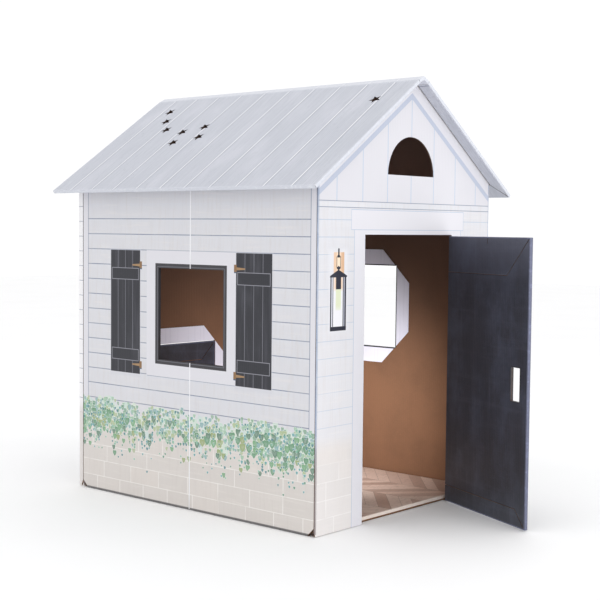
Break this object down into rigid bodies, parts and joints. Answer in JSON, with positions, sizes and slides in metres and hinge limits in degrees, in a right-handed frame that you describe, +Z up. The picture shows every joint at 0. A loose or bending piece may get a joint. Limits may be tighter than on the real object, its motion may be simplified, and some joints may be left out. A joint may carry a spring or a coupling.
{
  "type": "cardboard playhouse",
  "caption": "Child's playhouse folded from printed corrugated board, with a gable roof, a hinged front door, side windows and a low rear hatch.",
  "frame": {"origin": "middle of the wall footprint at ground level", "axes": "+Z up, -Y out of the front wall with the door, +X to the right as seen from the front"},
  "size_m": [0.921, 1.3815, 1.2243],
  "materials": {
    "wall_board": "satin print",
    "roof_board": "satin print",
    "door_board": "satin print",
    "window_board": "satin print",
    "floor_board": "satin print",
    "kraft_board": "uncoated"
  },
  "bodies": {
    "walls": {"front_wall": "wall_board", "back_wall": "wall_board", "left_wall_front": "wall_board", "left_wall_rear": "wall_board", "right_wall_front": "wall_board", "right_wall_rear": "wall_board", "left_window_hem_head_front": "window_board", "left_window_hem_head_rear": "window_board", "left_window_hem_sill_front": "window_board", "left_window_hem_sill_rear": "window_board", "left_window_hem_jamb_front": "window_board", "left_window_hem_jamb_rear": "window_board", "right_window_hem_head_front": "window_board", "right_window_hem_head_rear": "window_board", "right_window_hem_sill_front": "window_board", "right_window_hem_sill_rear": "window_board", "right_window_hem_jamb_front": "window_board", "right_window_hem_jamb_rear": "window_board", "back_opening_hem_top": "window_board", "back_opening_hem_left": "window_board", "back_opening_hem_right": "window_board"},
    "front_door": {"door_panel": "door_board", "door_hem_top": "door_board", "door_hem_bottom": "door_board", "door_lining": "door_board"},
    "back_hatch": {"hatch_panel": "door_board", "hatch_hem_top": "door_board", "hatch_hem_bottom": "door_board", "hatch_lining": "door_board"},
    "corner_flap": {"rear_left_corner_flap": "wall_board"},
    "front_flap": {"front_bottom_flap": "kraft_board"},
    "back_flap": {"back_bottom_flap": "kraft_board"},
    "left_flap": {"left_bottom_flap": "kraft_board"},
    "right_flap": {"right_bottom_flap": "kraft_board"},
    "floor": {"floor_mat": "floor_board", "floor_mat_front_fold": "floor_board", "floor_mat_rear_fold": "floor_board"},
    "ridge_right": {"ridge_band_right": "roof_board", "ridge_right_front_hem": "roof_board", "ridge_right_rear_hem": "roof_board"},
    "ridge_left": {"ridge_band_left": "roof_board", "ridge_left_front_hem": "roof_board", "ridge_left_rear_hem": "roof_board"},
    "slope_right": {"roof_right_slope": "roof_board", "roof_right_front_hem": "roof_board", "roof_right_rear_hem": "roof_board", "roof_right_eave_hem": "roof_board"},
    "slope_left": {"roof_left_slope": "roof_board", "roof_left_front_hem": "roof_board", "roof_left_rear_hem": "roof_board", "roof_left_eave_hem": "roof_board"}
  },
  "joints": [
    {"name": "front_door_hinge", "type": "hinge", "parent": "walls", "child": "front_door", "pos_m": [0.204, -0.47, 0.393], "axis": [0, 0, 1], "range_deg": [-66, 110]},
    {"name": "back_hatch_hinge", "type": "hinge", "parent": "walls", "child": "back_hatch", "pos_m": [-0.161, 0.47, 0.2105], "axis": [0, 0, 1], "range_deg": [0, 110]},
    {"name": "corner_flap_crease", "type": "hinge", "parent": "walls", "child": "corner_flap", "pos_m": [-0.3955, 0.4706, 0.47], "axis": [0, 0, -1], "range_deg": [-14, 75]},
    {"name": "front_flap_crease", "type": "hinge", "parent": "walls", "child": "front_flap", "pos_m": [0, -0.4655, 0], "axis": [-1, 0, 0], "range_deg": [0, 90]},
    {"name": "back_flap_crease", "type": "hinge", "parent": "walls", "child": "back_flap", "pos_m": [0, 0.4655, 0], "axis": [1, 0, 0], "range_deg": [0, 90]},
    {"name": "left_flap_crease", "type": "hinge", "parent": "walls", "child": "left_flap", "pos_m": [-0.3955, 0, 0], "axis": [0, 1, 0], "range_deg": [0, 90]},
    {"name": "right_flap_crease", "type": "hinge", "parent": "walls", "child": "right_flap", "pos_m": [0.3955, 0, 0], "axis": [0, -1, 0], "range_deg": [0, 90]},
    {"name": "floor_mat_lift", "type": "slide", "parent": "walls", "child": "floor", "axis": [0, 0, 1], "range_m": [0, 0.25]},
    {"name": "roof_lift", "type": "slide", "parent": "walls", "child": "ridge_right", "axis": [0, 0, 1], "range_m": [0, 0.35]},
    {"name": "ridge_fold", "type": "hinge", "parent": "ridge_right", "child": "ridge_left", "pos_m": [0, 0, 1.22439], "axis": [0, 1, 0], "range_deg": [0, 54]},
    {"name": "left_slope_fold", "type": "hinge", "parent": "ridge_left", "child": "slope_left", "pos_m": [-0.024, 0, 1.21217], "axis": [0, 1, 0], "range_deg": [0, 30]},
    {"name": "right_slope_fold", "type": "hinge", "parent": "ridge_right", "child": "slope_right", "pos_m": [0.024, 0, 1.21217], "axis": [0, -1, 0], "range_deg": [0, 30]}
  ]
}
